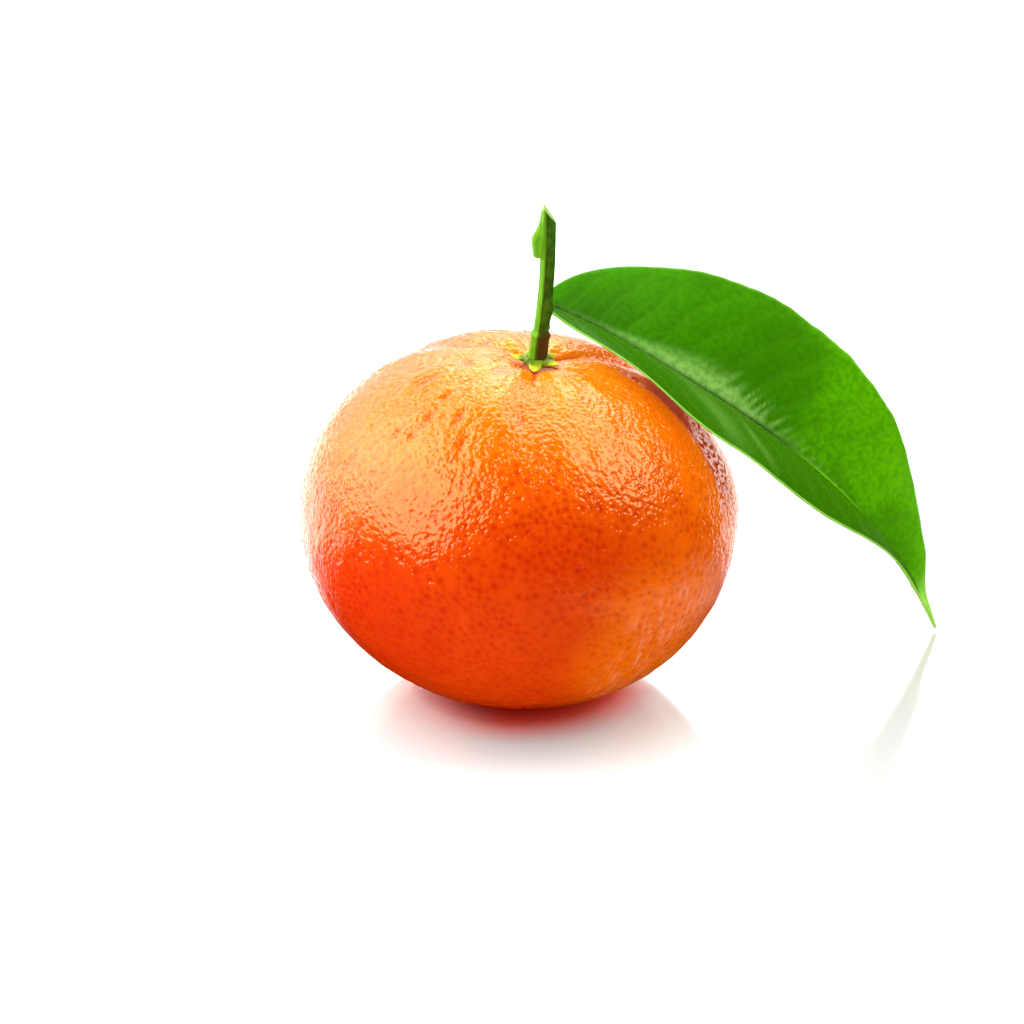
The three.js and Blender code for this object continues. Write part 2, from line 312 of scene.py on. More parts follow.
class Nodes:
    """Adds nodes to a tree and joins their sockets."""

    def __init__(self, tree):
        self.tree = tree

    def node(self, kind, inputs=None, **settings):
        """A new node with its settings and what its inputs are fed with."""
        made = self.tree.nodes.new(kind)
        for key, value in settings.items():
            setattr(made, key, value)
        for key, value in (inputs or {}).items():
            self.feed(made.inputs[key], value)
        return made

    def feed(self, socket, value):
        """Joins an output to the socket, or sets the socket's own value."""
        if isinstance(value, bpy.types.NodeSocket):
            self.tree.links.new(value, socket)
        elif hasattr(value, "__len__") and len(value) == 3 and len(socket.default_value) == 4:
            socket.default_value = (*value, 1)
        else:
            socket.default_value = value

    def place(self):
        """Where a point lies on its object, in metres."""
        return self.node("ShaderNodeTexCoord").outputs["Object"]

    def split(self, vector):
        """The X, Y and Z of a vector."""
        return self.node("ShaderNodeSeparateXYZ", {0: vector}).outputs

    def maths(self, operation, first, second):
        return self.node("ShaderNodeMath", {0: first, 1: second}, operation=operation).outputs[0]

    def times(self, first, second):
        return self.maths("MULTIPLY", first, second)

    def plus(self, first, second):
        return self.maths("ADD", first, second)

    def minus(self, first, second):
        return self.maths("SUBTRACT", first, second)

    def most(self, first, second):
        return self.maths("MAXIMUM", first, second)

    def span(self, value, low, high, to_low=0.0, to_high=1.0):
        """Maps a value from one range onto another, smoothly, and holds it there."""
        return self.node("ShaderNodeMapRange", {
            "Value": value, "From Min": low, "From Max": high, "To Min": to_low, "To Max": to_high,
        }, interpolation_type="SMOOTHSTEP").outputs["Result"]

    def mix(self, factor, first, second):
        """A colour between two colours."""
        return self.node("ShaderNodeMix", {0: factor, 6: first, 7: second},
                         data_type="RGBA").outputs[2]

    def layers(self, base, *coats):
        """A colour with coats of others over it, each through its own mask."""
        for mask, coat in coats:
            base = self.mix(mask, base, coat)
        return base

    def choose(self, factor, first, second):
        """A shader between two shaders."""
        return self.node("ShaderNodeMixShader", {0: factor, 1: first, 2: second}).outputs[0]


class Shader(Nodes):
    """The nodes of a new material."""

    def __init__(self, name):
        self.material = bpy.data.materials.new(name)
        self.material.use_nodes = True
        super().__init__(self.material.node_tree)
        self.surface = self.tree.nodes["Principled BSDF"]

    def mark(self, name):
        """A mask that is stored on the mesh."""
        return self.node("ShaderNodeAttribute", attribute_name=name).outputs["Fac"]

    def group(self, tree, **inputs):
        """Places a shared group, with its own values, and gives its first output."""
        placed = self.node("ShaderNodeGroup", node_tree=tree)
        for key, value in inputs.items():
            self.feed(placed.inputs[key.replace("_", " ").title()], value)
        return placed.outputs[0]

    def bump(self, height, distance, strength=1.0):
        """Relief of a height mask, with the distance that its full range stands for."""
        self.feed(self.surface.inputs["Normal"], self.node(
            "ShaderNodeBump", {"Height": height, "Distance": distance, "Strength": strength},
        ).outputs[0])

    def finish(self, **values):
        """Sets the shader's own sockets, which are named in words joined by underscores."""
        for key, value in values.items():
            self.feed(self.surface.inputs[key.replace("_", " ")], value)
        return self.material


def shared_group(name, inputs, output, build):
    """A shader group with float inputs and one float output, built only once."""
    if name in bpy.data.node_groups:
        return bpy.data.node_groups[name]
    tree = bpy.data.node_groups.new(name, "ShaderNodeTree")
    for label, value in inputs:
        socket = tree.interface.new_socket(label, in_out="INPUT", socket_type="NodeSocketFloat")
        socket.default_value = value
    tree.interface.new_socket(output, in_out="OUTPUT", socket_type="NodeSocketFloat")
    nodes = Nodes(tree)
    given = nodes.node("NodeGroupInput").outputs
    nodes.node("NodeGroupOutput", {output: build(nodes, given)})
    return tree


def mottle_group():
    """Soft patches: a mask from 0 to 1, with patches of about 1 / Scale metres."""
    def build(nodes, given):
        patches = nodes.node("ShaderNodeTexNoise", {
            "Vector": nodes.place(), "Scale": given["Scale"], "Detail": given["Detail"]})
        return nodes.span(patches.outputs["Fac"], given["Low"], given["High"])

    inputs = (("Scale", 100.0), ("Detail", 2.0), ("Low", 0.35), ("High", 0.65))
    return shared_group("Mottle", inputs, "Mask", build)


def pores_group():
    """Fine round pits about 1 / Scale metres apart: 0 in a pit, 1 on the skin between them."""
    def build(nodes, given):
        cells = nodes.node("ShaderNodeTexVoronoi", {
            "Vector": nodes.place(), "Scale": given["Scale"]})
        return nodes.span(cells.outputs["Distance"], 0.0, given["Width"])

    return shared_group("Fine Pores", (("Scale", 1200.0), ("Width", 0.5)), "Height", build)


# ------------------------------------------------------------------ settings

def length(name, description, default, **limits):
    """A size that the user can change."""
    return bpy.props.FloatProperty(
        name=name, description=description, default=default, unit="LENGTH", precision=5, **limits)


def colour(name, description, default):
    """A colour that the user can change."""
    return bpy.props.FloatVectorProperty(
        name=name, description=description, default=default, subtype="COLOR", size=3, min=0, max=1)


def count(name, description, default):
    """A number of things that the user can change."""
    return bpy.props.IntProperty(name=name, description=description, default=default, min=4)


class MandarinPeelSettings(bpy.types.PropertyGroup):
    """Sizes and colours of the fruit."""

    cells: count("Cells", "Cells along each edge of the ball's six grids", 128)
    glands: count("Glands", "Number of oil glands in the peel", 6800)
    gland_radius: length("Gland radius", "Radius of the pit over a gland", 0.4 * MM)
    gland_depth: length("Gland depth", "Depth of the pit over a gland", 0.13 * MM)
    lump_height: length("Lump height", "Height of the soft unevenness of the peel", 0.09 * MM)
    orange: colour("Orange", "Main colour of the peel", paint(212, 82, 0))
    red: colour("Red orange", "Colour of the low and shaded peel", paint(198, 58, 0))
    gold: colour("Golden", "Colour of the shoulders", paint(226, 104, 0))
    amber: colour("Amber", "Colour of the peel round the calyx", paint(236, 144, 4))
    # Painted glow: emission that lifts the shaded peel in place of fill light; warmer low on the
    # leaf's side
    glow: colour("Glow", "Light that soaks through the peel", paint(90, 3, 0))
    warm_glow: colour("Warm glow", "The same light low on the side of the leaf", paint(126, 60, 0))
    # Painted shade: dark red of the shadow along the long fold, of the band past it and under the
    # calyx
    fold: colour("Fold", "Deep colour in the folds", paint(146, 0, 0))
    # Painted highlight: pale colour of the glints past the long fold and of the streaks low on the
    # right
    painted_shine: colour("Rim", "Pale shine on the peel behind the long fold", paint(248, 208, 208))
    # Painted shade: deep red of the peel near the floor
    ground: colour("Underside", "Deep colour of the peel near the ground", paint(112, 5, 0))
    gland: colour("Gland", "Colour of an oil gland", paint(166, 20, 0))
    scar: colour("Flower scar", "Colour of the scar under the fruit", paint(150, 96, 52))


class MandarinTwigSettings(bpy.types.PropertyGroup):
    """Sizes and colours of the calyx, the stalk and the leaf stalk."""

    ridge_height: length("Ridge height", "Height of the ridges along the stalk", 0.05 * MM)
    leaf_stalk_radius: length("Leaf stalk radius", "Radius of the leaf stalk", 0.6 * MM)
    calyx_green: colour("Calyx green", "Main colour of the calyx", paint(112, 140, 14))
    calyx_yellow: colour("Calyx yellow", "Colour of the lobes' points", paint(196, 206, 30))
    sunny: colour("Sunny green", "Lit side of the stalk", paint(90, 154, 14))
    shady: colour("Shady green", "Shaded side of the stalk", paint(34, 82, 0))
    olive: colour("Olive", "Brown green line between the two sides", paint(54, 64, 2))
    bark: colour("Bark", "Brown bark under the collar", paint(72, 42, 8))
    cut: colour("Cut wood", "Colour of the slanted cut", paint(150, 186, 90))


class MandarinLeafSettings(bpy.types.PropertyGroup):
    """Sizes and colours of the leaf blade."""

    thickness: length("Thickness", "Thickness of the blade", 0.38 * MM)
    veins: count("Side veins", "Main side veins on each half of the blade", 17)
    quilting: length("Quilting", "Height of the swell between two side veins", 0.06 * MM)
    wave: length("Wave", "Height of the waves along the margin", 0.35 * MM)
    green: colour("Green", "Main colour of the upper face", paint(58, 131, 2))
    deep: colour("Deep green", "Darker patches of the upper face", paint(44, 104, 2))
    # Painted shade: darker green of the near half, which faces away from the lights
    near: colour("Near green", "Half of the blade that hangs to the front", paint(46, 98, 0))
    lime: colour("Lime green", "Lighter patches towards the tip", paint(96, 180, 2))
    shine: colour("Shine", "Pale shine beside the midrib", paint(142, 196, 92))
    vein: colour("Vein", "Colour of the veins", paint(110, 170, 40))
    # Painted shade: near-black green in the groove over the midrib
    groove: colour("Groove", "Bottom of the groove over the midrib", paint(6, 30, 2))
    rib: colour("Rib", "Pale midrib towards the tip", paint(150, 226, 20))
    # Painted light: lime over the tip stands for light on its shaded faces; also the thin edge
    # colour
    edge: colour("Edge", "Thin edge and tip of the blade", paint(168, 232, 92))
    under: colour("Under face", "Colour of the lower face", paint(96, 134, 52))


class MandarinStageSettings(bpy.types.PropertyGroup):
    """Camera, lights and floor."""

    elevation: bpy.props.FloatProperty(
        name="Elevation", description="Height of the camera over the horizon",
        default=math.radians(25.3), subtype="ANGLE")
    distance: length("Distance", "From the camera to the middle of the fruit", 0.6)
    lens: bpy.props.FloatProperty(
        name="Lens", description="Focal length on a 36 mm sensor, in millimetres",
        default=153.35, min=1)
    floor_radius: length("Floor radius", "Radius of the floor", 2.5)
    floor: colour("Floor", "Colour of the floor", (0.87, 0.9, 0.87))
    # Painted shade: greyer floor round the fruit, where it mirrors the fruit
    floor_near: colour("Floor near", "Colour where it mirrors the fruit", (0.74, 0.88, 0.86))
    # Painted light: the fruit's red thrown on the floor next to it, as colour and as glow
    floor_contact: colour("Floor contact", "Colour next to the fruit", (1.0, 0.12, 0.06))
    # Painted shade: grey floor under the leaf's tip
    floor_side: colour("Floor side", "Colour under the leaf's tip", (0.55, 0.54, 0.53))
    left_power: bpy.props.FloatProperty(
        name="Left light", description="Power of the wide light on the left", default=8.9, min=0)
    right_power: bpy.props.FloatProperty(
        name="Right light", description="Power of the light on the right", default=1.75, min=0)
    back_power: bpy.props.FloatProperty(
        name="Back light", description="Power of the light over the back", default=4.4, min=0)


# ------------------------------------------------------------------ fruit

def crease_depth(crease, polar, around, off_axis):
    """Depth of one radial crease of the peel below the round of the fruit."""
    azimuth, depth, reach = crease
    turn = around - math.radians(azimuth)
    outwards = np.clip(polar / math.radians(reach), 0, 1)
    profile = 6.75 * outwards * (1 - outwards) ** 2    # 1 at its deepest, a third of the way out
    half_width = CREASE_WIDTH + CREASE_SPREAD * off_axis
    facing = np.maximum(np.cos(turn), 0)
    return depth * MM * profile * facing * bell(off_axis * np.sin(turn), half_width)


def swelling_height(polar, around):
    """Height of the broad bulge on the shoulder under the leaf."""
    azimuth, elevation, height, spread = SWELLING
    rise = math.radians(elevation)
    level = math.cos(rise) * np.sin(polar) * np.cos(around - math.radians(azimuth))
    apart = np.arccos(np.clip(level + math.sin(rise) * np.cos(polar), -1, 1))
    return height * MM * bell(apart, math.radians(spread))


def peel_radius(polar, around):
    """Distance from the fruit's centre to its skin, by the angle from the axis and round it."""
    level, upright = np.sin(polar) / FRUIT_RADIUS, np.cos(polar) / FRUIT_HALF_HEIGHT
    round_radius = 1 / np.hypot(level, upright)
    off_axis = round_radius * np.sin(polar)
    hollow = np.where(polar < math.pi / 2, HOLLOW_DEPTH * bell(off_axis, HOLLOW_RADIUS), 0)
    creases = sum(crease_depth(crease, polar, around, off_axis) for crease in CREASES)
    return round_radius - hollow - creases + swelling_height(polar, around)


def peel_height(off_axis, around):
    """How high the skin stands on the fruit's axes, near the calyx end."""
    polar = np.arctan(off_axis / FRUIT_HALF_HEIGHT)
    for _ in range(4):
        polar = np.arcsin(off_axis / peel_radius(polar, around))
    return peel_radius(polar, around) * np.cos(polar)


def off_fruit_axes(points):
    """Turns points on the fruit's leaning axes into points of the frame."""
    lean, rise = math.sin(FRUIT_LEAN), math.cos(FRUIT_LEAN)
    x, y, z = points[..., 0], points[..., 1], points[..., 2]
    return np.stack([x * rise + z * lean, y, z * rise - x * lean], -1) + FRUIT_CENTRE


def polar_of(directions):
    """The angle of each direction from the axis, and round it."""
    polar = np.arccos(np.clip(directions[:, 2], -1, 1))
    return polar, np.arctan2(directions[:, 1], directions[:, 0])


def nearest_points(centres, points, number):
    """Numbers of the nearest centres to each point, and their distances."""
    tree = KDTree(len(centres))
    for i, centre in enumerate(centres.tolist()):
        tree.insert(centre, i)
    tree.balance()
    found = [tree.find_n(point, number) for point in points.tolist()]
    which = np.array([[hit[1] for hit in hits] for hits in found])
    return which, np.array([[hit[2] for hit in hits] for hits in found])


def gland_directions(total, chance):
    """Scattered directions, pushed apart until none crowd each other."""
    directions = chance.normal(size=(total, 3))
    spacing = math.sqrt(4 * math.pi / total)
    for _ in range(5):
        directions /= np.linalg.norm(directions, axis=1)[:, None]
        which, distance = nearest_points(directions, directions, 5)
        apart = directions[:, None, :] - directions[which[:, 1:]]
        push = np.maximum(spacing - distance[:, 1:], 0) / np.maximum(distance[:, 1:], 1e-6)
        directions = directions + 0.4 * (apart * push[..., None]).sum(1)
    return directions / np.linalg.norm(directions, axis=1)[:, None]


def gland_pits(skin, settings):
    """Depth of the pit and strength of the gland's colour at each point of the skin."""
    chance = np.random.default_rng(7)
    directions = gland_directions(settings.glands, chance)
    centres = directions * peel_radius(*polar_of(directions))[:, None]
    radii = settings.gland_radius * chance.uniform(0.7, 1.25, settings.glands)
    depths = settings.gland_depth * chance.uniform(0.3, 1.3, settings.glands)
    tints = chance.uniform(0.35, 1, settings.glands)
    which, distance = nearest_points(centres, skin, 3)
    pit = (depths[which] * bell(distance, radii[which])).sum(1)
    tint = (tints[which] * bell(distance, 1.15 * radii[which])).max(1)
    return pit, tint


def short_grooves(around, off_axis):
    """Strength of the short narrow grooves that run out from the calyx along the creases."""
    strength = np.zeros_like(around)
    for azimuth, depth, _ in CREASES:
        turn = around - math.radians(azimuth)
        facing = np.maximum(np.cos(turn), 0)
        beside = bell(off_axis * np.sin(turn), 0.45 * MM)
        strength += min(depth + 0.2, 1) * facing * beside
    return strength * ease(2 * MM, 3.2 * MM, off_axis) * (1 - ease(5.5 * MM, 9 * MM, off_axis))


def shoulder_fold(points):
    """Depth, dark line and pale band of the long fold down the shoulder under the leaf."""
    path = Curve(SHOULDER_FOLD, UP)
    along = np.linspace(0, 1, 240)
    line = path.at(along)[0]
    which, distance = nearest_points(line, points, 1)
    which, distance = which[:, 0], distance[:, 0]
    behind = ((points - line[which]) @ FOLD_BEHIND) > 0
    past = np.where(behind, distance, -distance)
    strength = ease(0.0, 0.2, along[which]) * (1 - ease(0.7, 1.0, along[which]))
    drop = FOLD_DROP * ease(-0.3 * MM, 0.3 * MM, past) * (1 - ease(0.6 * MM, FOLD_WIDTH, past))
    line_end = blend(4.0, 1.0, ease(0.25, 0.55, along[which])) * MM
    # Painted shadow: a dark line just past the fold's edge
    dark = ease(-1.5 * MM, 0.6 * MM, past) * (1 - ease(line_end, 1.6 * line_end, past))
    # Past it, a band for painted shade with painted glints, and a spot where the fold starts
    pale = ease(line_end, 1.5 * line_end, past) * (1 - ease(4 * MM, 8 * MM, past))
    pale = pale * ease(0.25, 0.45, along[which]) * (1 - ease(0.6, 1.0, along[which]))
    start = bell(along[which] - 0.07, 0.07) * bell(past - 0.7 * MM, 0.8 * MM)
    return drop * strength, dark * strength, np.maximum(pale, start)


def small_dents(points):
    """Share of the full depth, 0 to 1, in the short dents that run away from the calyx."""
    share = np.zeros(len(points))
    for x, y, z, half_length, half_width in SMALL_DENTS:
        outwards = np.array([x, y, 0.0]) / math.hypot(x, y)
        sideways = np.array([-outwards[1], outwards[0], 0.0])
        offset = points - np.array([x, y, z]) * MM
        dent = bell(offset @ outwards, half_length * MM) * bell(offset @ sideways, half_width * MM)
        share = np.maximum(share, dent * (np.abs(offset[:, 2]) < 6 * MM))
    return share


def fruit_skin(settings):
    """Corners and faces of the fruit with the masks that its material reads."""
    directions, quads = ball_of_cells(settings.cells)
    polar, around = polar_of(directions)
    radius = peel_radius(polar, around)
    skin = directions * radius[:, None]
    off_axis = radius * np.sin(polar)
    top = (directions[:, 2] > 0) * 1.0
    pit, tint = gland_pits(skin, settings)
    grooves = short_grooves(around, off_axis)
    placed = off_fruit_axes(skin)
    fold_drop, fold, beyond_fold = shoulder_fold(placed)
    dents = small_dents(placed)

    lumps = soft_noise(skin, 5.5 * MM) + 0.8 * soft_noise(skin, 2.6 * MM, 9.0)
    wrinkles = flat_noise(off_axis * 0.35, around * 5.5 * MM, 1.6 * MM)
    rays = flat_noise(off_axis * 0.2, around * 13 * MM, 1.6 * MM, 4.0)
    streaks = flat_noise(polar * 4 * MM, around * 26 * MM, 0.45 * MM, 7.0)
    near_calyx = top * bell(off_axis - 6 * MM, 5 * MM)
    shoulder = top * ease(4 * MM, 9 * MM, off_axis) * (1 - ease(16 * MM, 27 * MM, off_axis))
    scar_depth = FLOWER_SCAR_DEPTH * (1 - top) * bell(off_axis, FLOWER_SCAR_RADIUS)
    creases = sum(crease_depth(one, polar, around, off_axis) for one in CREASES) / MM

    radius = radius - pit + settings.lump_height * lumps - scar_depth
    radius = radius + WRINKLE_HEIGHT * near_calyx * wrinkles + RAY_HEIGHT * shoulder * rays
    radius = radius - SHORT_GROOVE_DEPTH * top * grooves
    radius = radius - fold_drop - DENT_DEPTH * dents
    corners = off_fruit_axes(directions * radius[:, None])
    corners[:, 2] = np.maximum(corners[:, 2], 0)
    marks = {
        "gland": tint,
        # Crease and groove masks also place painted shade in the hollows
        "crease": np.clip(creases, 0, 1),
        "groove": np.maximum(top * grooves, 0.7 * dents),
        # Painted shadow along the long fold, and painted shade with painted glints past it
        "fold": fold,
        "beyond_fold": beyond_fold,
        # Mask for painted highlight streaks
        "streak": np.clip(1.6 * streaks, 0, 1),
        "shade": top * bell(off_axis - 2.9 * MM, 0.8 * MM) * ease(-0.2, 0.6, -np.sin(around)),
        "calyx_end": top * bell(off_axis, 12.5 * MM),
        "flower_scar": (1 - top) * bell(off_axis, 1.3 * MM),
    }
    return corners, quads, marks


def peel_material(settings):
    """Waxy orange peel with darker oil glands, redder low down and golden round the calyx."""
    # Painted into the colour: shade in creases, along the fold and near the floor, glints, streaks,
    # glow
    shader = Shader("Mandarin Peel")
    place = shader.place()

    def towards(direction):
        """How far a point lies in a direction from the middle of the fruit, -1 to 1."""
        outwards = shader.node("ShaderNodeVectorMath", {0: place, 1: tuple(FRUIT_CENTRE)},
                               operation="SUBTRACT").outputs[0]
        unit = shader.node("ShaderNodeVectorMath", {0: outwards}, operation="NORMALIZE").outputs[0]
        return shader.node("ShaderNodeVectorMath", {0: unit, 1: direction},
                           operation="DOT_PRODUCT").outputs["Value"]

    patches = shader.group(mottle_group(), scale=40.0, low=0.2, high=0.8)
    grain = shader.group(mottle_group(), scale=1600.0, detail=1.0, low=0.1, high=0.9)
    pore = shader.group(pores_group(), scale=1400.0, width=0.6)
    depth = shader.plus(towards((0.0, -0.6, -0.8)), shader.span(patches, 0, 1, -0.06, 0.06))
    fold, beyond_fold = shader.mark("fold"), shader.mark("beyond_fold")
    # Painted highlight: pale streaks low on the front right
    streaks = shader.times(shader.mark("streak"),
                           shader.span(towards((0.76, -0.5, -0.42)), 0.82, 0.93, 0, 0.18))
    # Painted shade: creases, grooves and dents turn red orange where shade falls in them
    hollow = shader.most(shader.times(shader.mark("crease"), 0.3),
                         shader.times(shader.mark("groove"), 0.9))
    # Painted glints: pale specks over the band past the fold
    painted_glints = shader.times(beyond_fold, shader.span(grain, 0.4, 0.56, 0.0, 0.95))
    gland_strength = shader.times(shader.span(depth, -0.35, 0.1, 0.35, 0.95),
                                  shader.span(depth, 0.55, 0.95, 1.0, 0.5))
    skin = shader.layers(
        settings.gold,
        (shader.span(depth, -0.25, 0.15), settings.orange),
        (shader.span(depth, 0.0, 0.42), settings.red),
        # Painted shade: a deep red patch low on the front left
        (shader.span(towards((-0.64, -0.74, -0.2)), 0.86, 0.98, 0, 0.4), settings.gland),
        # Painted light: a golden patch low on the front right, bounced up from the floor
        (shader.span(towards((0.66, -0.68, -0.3)), 0.84, 0.98, 0, 0.6), settings.gold),
        # Painted highlight streaks
        (streaks, settings.painted_shine),
        (shader.mark("calyx_end"), settings.amber),
        # Painted shade in creases, grooves and dents
        (hollow, settings.red),
        # Painted shade under the calyx lobes, along the long fold and over the band past it
        (shader.times(shader.mark("shade"), 0.75), settings.fold),
        (fold, settings.fold),
        (beyond_fold, settings.fold),
        (painted_glints, settings.painted_shine),
        (shader.times(shader.mark("gland"), gland_strength), settings.gland),
        # Painted shade low on the front, near the floor
        (shader.span(towards((0.1, -0.35, -0.93)), 0.86, 0.98, 0, 0.95), settings.ground),
        (shader.mark("flower_scar"), settings.scar),
    )
    relief = shader.plus(shader.times(grain, 0.75), shader.times(pore, 0.75))
    shader.bump(shader.times(relief, shader.span(depth, -0.1, 0.35, 1.0, 0.65)), 0.095 * MM)
    return shader.finish(
        Base_Color=skin,
        Roughness=shader.plus(shader.span(grain, 0, 1, 0.11, 0.16), shader.times(fold, 0.4)),
        Specular_IOR_Level=0.9,
        Specular_Tint=(1.0, 0.84, 0.38),
        Subsurface_Weight=0.1,
        Subsurface_Radius=(1.0, 0.3, 0.06),
        Subsurface_Scale=1.0 * MM,
        # Painted glow: the peel emits deep red everywhere, warmer low on the right and less in the
        # fold
        Emission_Color=shader.mix(shader.span(towards((0.82, -0.5, -0.28)), 0.62, 0.95),
                                  settings.glow, settings.warm_glow),
        Emission_Strength=shader.span(fold, 0, 1, 1.0, 0.7),
    )


class MANDARIN_OT_fruit(bpy.types.Operator):
    """Models the fruit with its pitted peel"""

    bl_idname = "mandarin.fruit"
    bl_label = "Fruit"

    def execute(self, context):
        settings = context.scene.mandarin_peel
        add_piece("peel", "fruit", "peel", fruit_skin(settings), peel_material(settings))
        return {"FINISHED"}


# ------------------------------------------------------------------ calyx

def lobe_shape(around):
    """For each azimuth: how far the nearest lobe reaches, 0 to 1, and how far it lifts."""
    half_width = math.radians(31)
    reach = np.zeros_like(around)
    lift = np.zeros_like(around)
    for azimuth, long, raised in CALYX_LOBES:
        beside = turn_between(around, math.radians(azimuth)) / half_width
        own = long * np.clip(1 - beside, 0, 1) ** 0.85
        lift = np.where(own > reach, raised * MM, lift)
        reach = np.maximum(reach, own)
    return reach, lift


def calyx_skin():
    """The star of the calyx: a thick disc round the stalk with five pointed lobes."""
    around = full_turn(180)
    reach, lift = lobe_shape(around)
    lobe_length = CALYX_RADIUS - CALYX_DISC_RADIUS
    edge = CALYX_DISC_RADIUS + lobe_length * np.maximum(reach, 0.1)
    under = [(share, 0) for share in np.linspace(0.05, 1, 22)]
    over = [(share, 1) for share in np.linspace(1, 0.05, 26)]
    rows, outwards = [], []
    for share, top in under + over:
        off_axis = edge * share
        beyond = np.clip((off_axis - CALYX_DISC_RADIUS) / lobe_length, 0, 1.2)
        thick = blend(*CALYX_THICKNESS, ease(0.1, 1.0, beyond)) * (1 - share ** 14)
        collar = CALYX_COLLAR_HEIGHT * bell(off_axis - CALYX_COLLAR_RADIUS, 0.3 * MM)
        keel = CALYX_KEEL_HEIGHT * reach * ease(0.0, 0.3, beyond)
        raised = (0.06 + 0.5 * np.clip(1 - beyond, 0, 1)) * MM + lift * beyond ** 1.5
        height = peel_height(off_axis, around) + raised + top * (thick + collar + keel)
        rows.append(np.stack([off_axis * np.cos(around), off_axis * np.sin(around), height], -1))
        outwards.append(beyond)
    corners, faces = closed_rows(off_fruit_axes(np.array(rows)))
    return corners, faces, {"outwards": with_ends(outwards, 0, 0)}


def calyx_material(settings):
    """Yellow green, fleshy, with browner patches and pale lobe points."""
    shader = Shader("Calyx Green")
    patches = shader.group(mottle_group(), scale=900.0, low=0.4, high=0.62)
    worn = shader.group(mottle_group(), scale=1600.0, low=0.58, high=0.72)
    grain = shader.group(mottle_group(), scale=3500.0, detail=3.0, low=0.2, high=0.8)
    shader.bump(grain, 0.05 * MM, 0.7)
    return shader.finish(
        Base_Color=shader.layers(
            settings.calyx_green,
            (patches, settings.shady),
            (shader.span(shader.mark("outwards"), 0.1, 0.7), settings.calyx_yellow),
            (shader.times(worn, 0.7), settings.bark),
        ),
        Roughness=shader.span(grain, 0, 1, 0.42, 0.6),
        Specular_Tint=(1.0, 1.0, 0.3),
        Subsurface_Weight=0.15,
        Subsurface_Radius=(0.5, 0.8, 0.1),
        Subsurface_Scale=0.6 * MM,
    )


class MANDARIN_OT_calyx(bpy.types.Operator):
    """Models the five-lobed calyx on the peel"""

    bl_idname = "mandarin.calyx"
    bl_label = "Calyx"

    def execute(self, context):
        material = calyx_material(context.scene.mandarin_twig)
        add_piece("calyx_star", "calyx", "calyx", calyx_skin(), material)
        return {"FINISHED"}


# ------------------------------------------------------------------ stalk

def stalk_radius(share, around, ridge_height):
    """The stalk's radius with its collar, ridges, bud scar and the swelling under the leaf."""
    above_collar = ease(*COLLAR, share)
    radius = blend(STALK_FOOT_RADIUS, STALK_RADIUS, above_collar)
    radius = radius * (1 + 0.05 * np.cos(3 * around))    # slightly three-cornered
    ridges = ridge_height * (np.cos(7 * around + 2 * share) + 0.5 * np.cos(13 * around - 3 * share))
    collar = COLLAR_LIP * bell(share - COLLAR[0], 0.012)
    bulge = blend(0.8, 1, ease(SCAR_LIP[1], 0.84, share)) * (1 - ease(0.835, 0.99, share))
    beside = bell(turn_between(around, math.pi), math.radians(40))
    scar = SCAR_HEIGHT * ease(*SCAR_LIP, share) * bulge * beside
    axil = AXIL_HEIGHT * bell(share - AXIL, 0.06) * bell(turn_between(around, 0.6), 0.8)
    foot = FOOT_FLARE * bell(share, 0.03)
    return radius + ridges + collar + scar + axil + foot


def stalk_skin(settings):
    """The stalk from inside the calyx to the slanted cut, with masks for bark and cut."""
    middle = Curve(STALK_CONTROLS, BACK)
    around = full_turn(72)
    sides = [(share, 1.0) for share in np.linspace(0, 1, 230)]
    cap = [(1.0, out) for out in (0.97, 0.9, 0.75, 0.55, 0.35, 0.15)]
    rows, cuts, shares = [], [], []
    for share, out in sides + cap:
        point, along, across, off = middle.at(share)
        on_cut = out < 0.95
        radius = out * stalk_radius(share, around, settings.ridge_height)
        sideways, backwards = radius * np.cos(around), radius * np.sin(around)
        cut = CUT_RISE - CUT_SLOPE * np.abs(sideways - CUT_RIDGE)
        splinter = 0.5 * MM * bell(sideways - CUT_RIDGE, 0.25 * MM) * bell(backwards, 0.5 * MM)
        rise = (cut + splinter + 0.05 * MM * on_cut) * ease(CUT_FROM, 1, share)
        rows.append(point + across * sideways[:, None] + off * backwards[:, None]
                    + along * rise[:, None])
        cuts.append(np.full_like(around, on_cut))
        shares.append(np.full_like(around, share))
    corners, faces = closed_rows(np.array(rows))
    lit_side = 0.5 - 0.5 * np.cos(around - 0.15)
    marks = {
        "cut": with_ends(cuts, 0, 1),
        "up": with_ends(shares, 0, 1),
        "sunny": with_ends(np.tile(lit_side, len(rows)), 0, 0),
    }
    bumps = soft_noise(corners, 0.9 * MM) * 0.035 * MM
    outwards = corners - middle.at(marks["up"])[0]
    outwards[:, 2] = 0
    outwards /= np.maximum(np.linalg.norm(outwards, axis=1), 1e-6)[:, None]
    return corners + outwards * bumps[:, None], faces, marks


